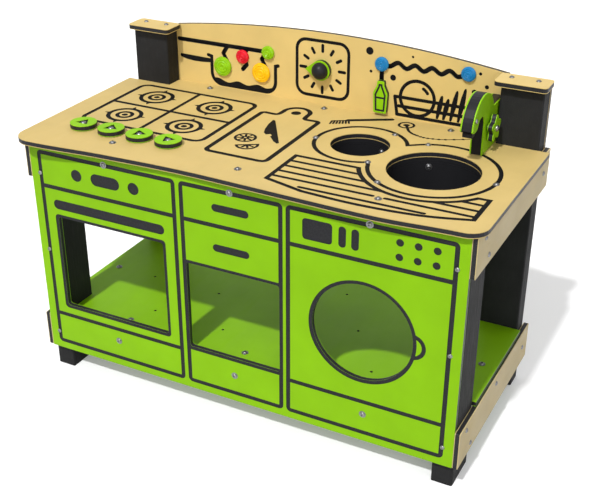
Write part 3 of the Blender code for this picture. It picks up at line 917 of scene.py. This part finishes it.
def backsplash():
    drawing = pot_drawing() + timer_drawing() + rack_drawing()
    before, floor = SPLASH_FRONT - CUTTER_REACH, SPLASH_FRONT + ENGRAVED
    splash = remake(
        "backsplash", EDGE_SOFTNESS, drawing, "Y", before, floor, SHADED_CUT_MATERIAL
    )
    dress(splash, layered("tan_backsplash", TAN, "backsplash"))
    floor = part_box("bottle")[0].y - FACE_Y + ENGRAVED
    before = SPLASH_FRONT - 2 * CUTTER_REACH
    bottle = remake("bottle", EDGE_SOFTNESS, bottle_drawing(), "Y", before, floor, CUT_MATERIAL)
    dress(bottle, layered("green_bottle", GREEN, "bottle"))


def shelf():
    hole = 0.004
    holes = [dot((x, 0.315), hole) for x in (-0.476, -0.238, 0.0, 0.238, 0.476)]
    holes += [dot((x, y), hole) for x in (-0.357, -0.119, 0.119, 0.357) for y in (0.138, 0.494)]
    below, above = SHELF_TOP - 0.05, SHELF_TOP + CUTTER_REACH
    piece = remake("bottom_shelf", EDGE_SOFTNESS, holes, "Z", below, above, CUT_MATERIAL)
    # The shelf's green is darkened: painted shade for the shelf under the worktop.
    dress(piece, layered("green_shelf_painted_shade", tint(GREEN, 0.86), "bottom_shelf"))
    places = [(-0.616, 0.315), (0.616, 0.315), (-0.393, 0.060), (0.0, 0.060), (0.393, 0.060)]
    bolts("bolts_shelf", "Z", SHELF_TOP, 1, places)


def posts_and_rails():
    for side, sign in (("left", -1), ("right", 1)):
        for name in ("front", "back"):
            node = f"post_{name}_{side}"
            dress(remake(node, POST_SOFTNESS), POST_MATERIAL)
        for level in ("upper", "lower"):
            node = f"rail_{level}_{side}"
            # Rails take the paler tan, which carries painted light for their sideways faces.
            dress(remake(node), layered(f"tan_{node}", RAIL_TAN_AND_PAINTED_LIGHT, node))
        node = f"cap_{side}"
        dress(remake(node, 0.0007), layered(f"tan_{node}", TAN, node))
        places = [(0.058, 0.727), (0.096, 0.664), (0.559, 0.696)]
        places += [(0.050, 0.168), (0.098, 0.096), (0.302, 0.160), (0.5595, 0.131)]
        bolts(f"bolts_rails_{side}", "X", sign * RAIL_OUTER, sign, places, washer=0.0)
        caps = [(sign * 0.549, 0.567), (sign * 0.6225, 0.567)]
        bolts(f"bolts_cap_{side}", "Z", CAP_TOP, 1, caps, washer=0.0)


def bowl_profile(outer, foot, rim):
    """Half the section of a bowl: outside, rim, rounded floor and a stepped drain hole."""
    inner = outer - BOWL_WALL
    floor = foot + BOWL_FLOOR
    drain = 0.009
    profile = [(drain, foot), (outer - 0.002, foot), (outer, foot + 0.002), (outer, rim)]
    profile += [(inner, rim), (inner, floor + BOWL_CORNER)]
    for k in range(1, 6):
        turn = math.radians(90 * k / 5)
        radius = inner - BOWL_CORNER * (1 - math.cos(turn))
        profile.append((radius, floor + BOWL_CORNER - BOWL_CORNER * math.sin(turn)))
    profile += [(0.016, floor), (0.013, floor - 0.002), (drain, floor - 0.002)]
    return profile + [profile[0]]


def wall_bolt(name, centre, facing, inner):
    """The bolt in a bowl's wall, in the direction it faces from the middle."""
    data = bmesh.new()
    add_bolt(data, "Z", (0.0, 0.0), 0.0, 1, BOLT_HEAD, 0.0095)
    bolt = new_object(f"bolt_bowl_{name}", data)
    aim = Vector((-facing.x, -facing.y, 0)).to_track_quat("Z", "Y").to_matrix().to_4x4()
    seat = Vector(centre) + facing * inner
    height = WORKTOP_TOP - BOWL_BOLT_DROP
    bolt.data.transform(Matrix.Translation((0, -FACE_Y, 0)))
    bolt.data.transform(aim)
    bolt.data.transform(Matrix.Translation((seat.x, FACE_Y + seat.y, height)))
    shade(bolt, 28)
    dress(bolt, STEEL_MATERIAL)


def sinks():
    dress(remake("sink_plate"), BLACK_MATERIAL)
    for name, centre, way in (
        ("small", SMALL_BOWL, (0.034, 0.080)), ("large", LARGE_BOWL, (-0.055, 0.114))
    ):
        node = f"sink_bowl_{name}"
        low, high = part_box(node)
        outer = (high.x - low.x) / 2
        bowl = turned(f"{node}_finished", bowl_profile(outer, low.z, high.z), "Z", centre, 96)
        weld(bowl)
        shade(bowl)
        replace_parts(bowl, node)
        dress(bowl, BLACK_MATERIAL)
        wall_bolt(name, centre, Vector(way).normalized(), outer - BOWL_WALL)


def weld(made):
    """Joins a turned profile's last ring to its first."""
    data = bmesh.new()
    data.from_mesh(made.data)
    bmesh.ops.remove_doubles(data, verts=data.verts, dist=1e-6)
    bmesh.ops.recalc_face_normals(data, faces=data.faces)
    data.to_mesh(made.data)
    data.free()


def knobs():
    for i in range(1, 5):
        node = f"knob_{i}"
        piece = remake(node, 0.0007)
        dress(piece, layered(f"green_{node}", GREEN, node), node)
        low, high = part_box(f"knob_bolt_{i}")
        centre = ((low.x + high.x) / 2, (low.y + high.y) / 2 - FACE_Y)
        bolts(f"bolt_head_knob_{i}", "Z", high.z - 0.0046, 1, [centre], 0.0085, 0.0)
        dress_node(f"knob_bolt_{i}", STEEL_MATERIAL)


def dress_node(node, material):
    target = frame["nodes"][node]
    target.data.materials.clear()
    target.data.materials.append(material)


def discs():
    """Domed discs with a rolled rim and two turned rings."""
    for name, colour in DISC_COLOURS.items():
        node = f"disc_{name}"
        low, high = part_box(node)
        centre = ((low.x + high.x) / 2, (low.z + high.z) / 2)
        radius = (high.x - low.x) / 2
        back = high.y - FACE_Y
        front = low.y - FACE_Y
        rise = back - front
        profile = [(0, back), (radius - 0.0015, back), (radius, back - 0.0015)]
        profile += [(radius, back - 0.0060), (radius - 0.0008, back - 0.0074)]
        profile += [(radius - 0.0024, back - 0.0082)]
        rings = ((0.86, 0.75), (0.80, 0.87), (0.72, 0.90), (0.67, 0.80), (0.62, 0.80))
        rings += ((0.57, 0.93), (0.48, 0.97), (0.42, 0.88), (0.37, 0.88), (0.31, 1.0), (0.16, 1.0))
        profile += [(radius * share, back - rise * height) for share, height in rings]
        profile += [(radius * 0.10, back - rise * 0.90), (0, back - rise * 0.88)]
        piece = turned(f"{node}_finished", profile, "Y", centre)
        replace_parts(piece, node)
        dress(piece, moulded_plastic(f"moulded_{name}", colour), f"slider_{name}")
        dress_node(f"pin_{name}", STEEL_MATERIAL)


def timer():
    pointer = remake("timer_pointer")
    dress(pointer, layered("green_timer", GREEN, "timer_pointer"), "timer")
    low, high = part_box("timer_grip")
    base = high.y - FACE_Y
    radius = (high.x - low.x) / 2
    depth = high.y - low.y
    profile = [(0, base), (radius - 0.001, base), (radius, base - 0.001)]
    steps = 16
    for k in range(1, steps):
        turn = math.pi / 2 * k / steps
        profile.append((radius * math.cos(turn), base - depth * math.sin(turn)))
    profile.append((0, base - depth))
    grip = turned("timer_grip_finished", profile, "Y", TIMER)
    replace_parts(grip, "timer_grip")
    dress(grip, BLACK_MATERIAL, "timer")
    dress_node("timer_pivot", STEEL_MATERIAL)


def tap():
    dress(remake("tap_core"), BLACK_MATERIAL)
    for side in ("left", "right"):
        node = f"tap_plate_{side}"
        plate = plain_plastic(f"green_{node}", GREEN)
        dress(remake(node, 0.0006), plate)
    handle = remake("tap_handle", 0.0010)
    dress(handle, layered("green_tap_handle", GREEN, "tap_handle"), "tap_handle")
    dress_node("tap_handle_bolt", STEEL_MATERIAL)
    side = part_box("tap_plate_right")[1].x
    bolts("bolt_tap_side", "X", side, 1, [(0.360, 0.889)], washer=0.0)


def hidden_pieces():
    for node in frame["nodes"]:
        if node.startswith("bracket_"):
            dress_node(node, STEEL_MATERIAL)
    for side in ("left", "right"):
        dress_node(f"slot_cover_{side}", BLACK_MATERIAL)


# Studio.

def floor_and_wall():
    """A pale floor, and a white wall all round behind its edge that lights nothing."""
    data = bmesh.new()
    bmesh.ops.create_grid(data, x_segments=1, y_segments=1, size=FLOOR_HALF)
    floor = new_object("studio_floor", data)
    pale = Shader("studio_floor_pale", 0.9)
    grain = pale.noise(3.0)
    pale.colour(pale.blend(grain, 0.3, 0.7, (0.86, 0.86, 0.865), PALE))
    pale.surface.inputs["Emission Color"].default_value = WHITE
    pale.surface.inputs["Emission Strength"].default_value = 0.20
    floor.data.materials.append(pale.material)
    floor.visible_diffuse = False

    data = bmesh.new()
    bmesh.ops.create_cone(
        data, cap_ends=False, segments=96,
        radius1=WALL_RADIUS, radius2=WALL_RADIUS, depth=WALL_HEIGHT,
    )
    wall = new_object("studio_wall", data)
    wall.location.z = WALL_HEIGHT / 2 - 0.05
    white = Shader("studio_wall_white", 0.9)
    white.surface.inputs["Base Color"].default_value = (*PALE, 1.0)
    white.surface.inputs["Emission Color"].default_value = WHITE
    white.surface.inputs["Emission Strength"].default_value = 1.0
    wall.data.materials.append(white.material)
    wall.visible_diffuse = False
    wall.visible_glossy = False
    wall.visible_transmission = False
    wall.visible_shadow = False


def sky():
    """Even grey light, a little weaker from below the horizon."""
    world = bpy.data.worlds.new("studio")
    world.use_nodes = True
    nodes = world.node_tree.nodes
    links = world.node_tree.links
    place = nodes.new("ShaderNodeTexCoord")
    height = nodes.new("ShaderNodeSeparateXYZ")
    ramp = nodes.new("ShaderNodeValToRGB")
    for stop, position, grey in zip(ramp.color_ramp.elements, (0.0, 0.02), (0.20, 0.38)):
        stop.position = position
        stop.color = (grey, grey, grey, 1)
    links.new(place.outputs["Generated"], height.inputs["Vector"])
    links.new(height.outputs["Z"], ramp.inputs["Fac"])
    links.new(ramp.outputs["Color"], nodes["Background"].inputs["Color"])
    nodes["Background"].inputs["Strength"].default_value = 1.0
    bpy.context.scene.world = world


def lamps():
    """Soft suns: from above the front, from the front right and from behind."""
    for name, energy, toward, spread in LAMPS:
        light = bpy.data.lights.new(name, "SUN")
        light.energy = energy
        light.angle = math.radians(spread)
        made = bpy.data.objects.new(name, light)
        made.rotation_euler = Vector(toward).to_track_quat("-Z", "Y").to_euler()
        bpy.context.scene.collection.objects.link(made)
    bpy.context.scene.view_settings.view_transform = "Standard"


def camera():
    """The reference view: from the front right, looking down."""
    lens = bpy.data.cameras.new("camera")
    lens.sensor_width = 36.0
    lens.lens = LENS
    lens.shift_x, lens.shift_y = SHIFT
    made = bpy.data.objects.new("camera", lens)
    x, y, z = EYE
    made.location = (x, y + FACE_Y, z)
    made.rotation_euler = (math.pi / 2 - LOOK_DOWN, 0.0, LOOK_LEFT)
    bpy.context.scene.collection.objects.link(made)
    bpy.context.scene.camera = made


camera()
floor_and_wall()
sky()
lamps()
front_panel()
worktop()
backsplash()
shelf()
posts_and_rails()
sinks()
knobs()
discs()
timer()
tap()
hidden_pieces()
